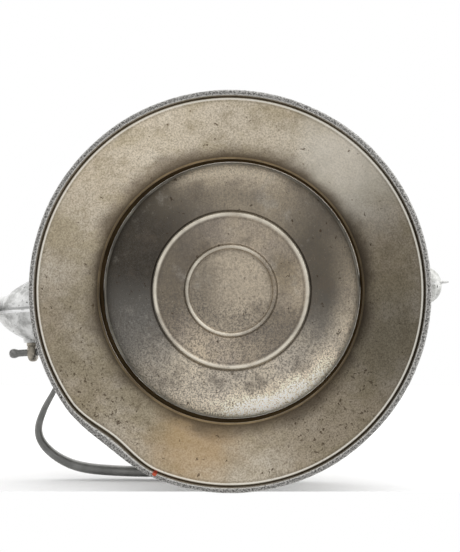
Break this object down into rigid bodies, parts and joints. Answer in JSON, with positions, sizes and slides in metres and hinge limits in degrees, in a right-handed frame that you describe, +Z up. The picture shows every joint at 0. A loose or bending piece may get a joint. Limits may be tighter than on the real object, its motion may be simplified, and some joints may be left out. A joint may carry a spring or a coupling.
{
  "type": "stovetop flip waffle iron",
  "caption": "Round cast-iron waffle iron: two hinged plates that turn over in a low flared base ring with a lifting bail.",
  "frame": {"origin": "centre of the bounding box at the height of the foot rim's lower face", "axes": "+Z up from the stove, +X along the handles, bail folded over the -Y side"},
  "size_m": [0.433, 0.234, 0.076],
  "materials": {
    "ring_iron": "tarnished, rough foot rim",
    "bracket_iron": "light grey, hazy",
    "plate_iron": "rubbed bright, tarnished",
    "dark_iron": "dark, seasoned",
    "steel": "worn grey",
    "grip_wood": "oiled, worn"
  },
  "bodies": {
    "base": {"base_ring": "ring_iron", "handle_rest": "bracket_iron", "ball_socket": "bracket_iron", "rest_screw_1": "dark_iron", "rest_screw_2": "dark_iron", "socket_screw_1": "dark_iron", "socket_screw_2": "dark_iron", "handle_side_eye": "dark_iron", "hinge_side_eye": "dark_iron"},
    "bail": {"bail": "steel"},
    "lower_half": {"lower_plate": "plate_iron", "hinge_pin": "steel", "lower_tang": "dark_iron", "lower_ferrule": "steel", "lower_grip": "grip_wood", "lower_tie_rod": "dark_iron", "lower_end_nut": "steel"},
    "upper_half": {"upper_plate": "plate_iron", "upper_tang": "dark_iron", "upper_ferrule": "steel", "upper_grip": "grip_wood", "upper_tie_rod": "dark_iron", "upper_end_nut": "steel"}
  },
  "joints": [
    {"name": "plates_flip", "type": "hinge", "parent": "base", "child": "lower_half", "pos_m": [-0.19695, 0, 0.05], "axis": [1, 0, 0], "range_deg": [0, 180]},
    {"name": "upper_plate_open", "type": "hinge", "parent": "lower_half", "child": "upper_half", "pos_m": [-0.19695, 0, 0.05], "axis": [0, -1, 0], "range_deg": [0, 97]},
    {"name": "bail_lift", "type": "hinge", "parent": "base", "child": "bail", "pos_m": [0.04285, -0.0304, 0.046], "axis": [-1, 0, 0], "range_deg": [0, 110]}
  ]
}
